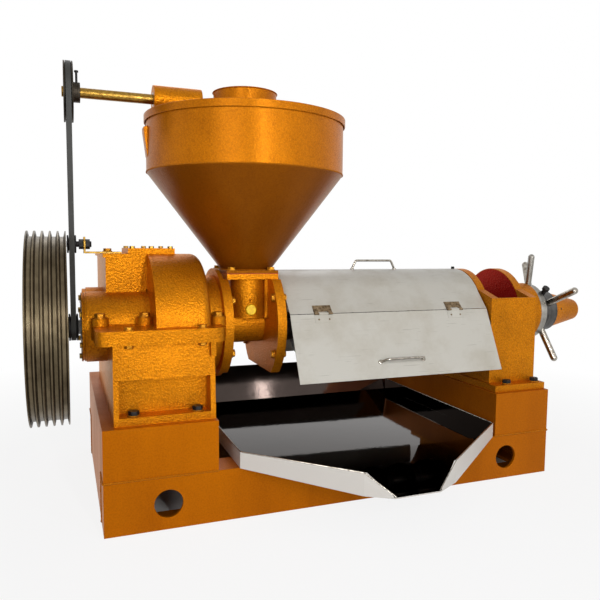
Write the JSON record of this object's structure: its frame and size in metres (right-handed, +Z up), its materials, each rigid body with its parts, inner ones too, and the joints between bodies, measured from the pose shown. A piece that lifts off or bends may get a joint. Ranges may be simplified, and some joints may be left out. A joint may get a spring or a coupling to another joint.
{
  "type": "screw oil press",
  "caption": "Screw oil press with belt-driven gearbox, hooded press cage, feed hopper with auger, oil tray and adjustable cake outlet on a welded base.",
  "frame": {"origin": "centre of the base on the floor it stands on", "axes": "+X along the machine from the drive pulley to the cake outlet, +Y to the rear, +Z up; the oil spout points to -Y"},
  "size_m": [1.863, 0.968, 1.19],
  "materials": {
    "base_paint": "smooth gold enamel",
    "casting_paint": "hammered gold enamel",
    "pale_sheet": "plain pale grey paint, scuffed",
    "polished_sheet": "polished stainless sheet",
    "black_bolts": "black oxide",
    "zinc_bolts": "yellow zinc plate",
    "bare_iron": "turned bare iron, lightly oiled",
    "ground_steel": "turned and ground steel",
    "bright_steel": "bright plated steel",
    "belt_rubber": "dull black rubber",
    "red_gasket": "red gasket sheet"
  },
  "bodies": {
    "base": {"base_front_beam": "base_paint", "base_rear_beam": "base_paint", "base_cross_ties": "base_paint", "gearbox_pedestal": "base_paint", "outlet_pedestal": "base_paint", "rear_splash_panel": "polished_sheet", "oil_tray": "polished_sheet", "gearbox_lower_body": "casting_paint", "gearbox_upper_body": "casting_paint", "gearbox_bolts": "zinc_bolts", "foundation_bolts": "black_bolts", "inspection_cover": "casting_paint", "small_screws": "zinc_bolts", "bearing_caps": "casting_paint", "bearings_and_seals": "ground_steel", "feeder_belt": "belt_rubber", "feeder_bearing_tube": "casting_paint", "idler_axle": "black_bolts", "idler_bracket": "zinc_bolts", "feed_throat": "casting_paint", "throat_bolts": "zinc_bolts", "port_gasket": "red_gasket", "throat_plug": "zinc_bolts", "hopper_shell": "casting_paint", "hopper_lid": "casting_paint", "bevel_housing": "casting_paint", "cage_upper_half": "ground_steel", "cage_lower_half": "ground_steel", "press_bars": "ground_steel", "cage_clamp_bolts": "black_bolts", "cage_end_ring": "ground_steel", "outlet_column": "casting_paint", "cover_upper_sheet": "pale_sheet", "cover_hoops": "pale_sheet", "cover_hinge_leaves": "ground_steel", "cover_handle": "bright_steel"},
    "drive": {"input_pinion_shaft": "ground_steel", "main_pulley": "bare_iron", "feeder_drive_pulley": "bare_iron"},
    "layshaft": {"layshaft_pinion_shaft": "ground_steel", "layshaft_gear": "ground_steel"},
    "screw": {"bull_gear": "ground_steel", "worm_shaft": "ground_steel", "worm_sleeves": "ground_steel", "distance_collars": "ground_steel"},
    "feeder": {"feeder_shaft": "zinc_bolts", "feeder_pulley": "bare_iron", "feeder_bevel_pinion": "ground_steel"},
    "auger": {"feed_auger": "ground_steel", "auger_bevel_gear": "ground_steel"},
    "idler": {"idler_pulley": "bare_iron"},
    "choke": {"choke_cone": "ground_steel"},
    "sleeve": {"adjusting_sleeve": "ground_steel", "handle_rods": "bright_steel", "lock_bolt": "black_bolts", "shaft_end_cover": "casting_paint"},
    "lock_ring": {"lock_ring": "bright_steel"},
    "front_flap": {"front_flap": "pale_sheet", "flap_handle": "bright_steel"},
    "rear_flap": {"rear_flap": "pale_sheet"}
  },
  "joints": [
    {"name": "drive_spin", "type": "hinge", "parent": "base", "child": "drive", "pos_m": [-0.79, -0.11, 0.488], "axis": [1, 0, 0], "continuous": true},
    {"name": "layshaft_spin", "type": "hinge", "parent": "base", "child": "layshaft", "pos_m": [-0.5, 0.105, 0.488], "axis": [1, 0, 0], "continuous": true},
    {"name": "screw_spin", "type": "hinge", "parent": "base", "child": "screw", "pos_m": [0.1, -0.11, 0.488], "axis": [1, 0, 0], "continuous": true},
    {"name": "feeder_spin", "type": "hinge", "parent": "base", "child": "feeder", "pos_m": [-0.5, -0.11, 1.112], "axis": [1, 0, 0], "continuous": true},
    {"name": "auger_spin", "type": "hinge", "parent": "base", "child": "auger", "pos_m": [-0.245, -0.11, 0.9], "axis": [0, 0, 1], "continuous": true},
    {"name": "idler_spin", "type": "hinge", "parent": "base", "child": "idler", "pos_m": [-0.73, -0.078, 0.713], "axis": [1, 0, 0], "continuous": true},
    {"name": "choke_slide", "type": "slide", "parent": "base", "child": "choke", "axis": [1, 0, 0], "range_m": [0, 0.012]},
    {"name": "sleeve_turn", "type": "hinge", "parent": "choke", "child": "sleeve", "pos_m": [0.8, -0.11, 0.488], "axis": [1, 0, 0], "range_deg": [0, 720]},
    {"name": "lock_ring_turn", "type": "hinge", "parent": "base", "child": "lock_ring", "pos_m": [0.796, -0.11, 0.488], "axis": [1, 0, 0], "range_deg": [0, 90]},
    {"name": "front_flap_hinge", "type": "hinge", "parent": "base", "child": "front_flap", "pos_m": [0.16, -0.28797, 0.523], "axis": [-1, 0, 0], "range_deg": [0, 150]},
    {"name": "rear_flap_hinge", "type": "hinge", "parent": "base", "child": "rear_flap", "pos_m": [0.16, 0.06797, 0.523], "axis": [1, 0, 0], "range_deg": [0, 150]}
  ],
  "couplings": [
    {"joint": "layshaft_spin", "follows": "drive_spin", "ratio": -0.34375},
    {"joint": "screw_spin", "follows": "drive_spin", "ratio": 0.090993},
    {"joint": "feeder_spin", "follows": "drive_spin", "ratio": 0.43243},
    {"joint": "auger_spin", "follows": "drive_spin", "ratio": -0.28829},
    {"joint": "idler_spin", "follows": "drive_spin", "ratio": 1.6},
    {"joint": "choke_slide", "follows": "sleeve_turn", "m_per_rad": 0.00095493}
  ]
}
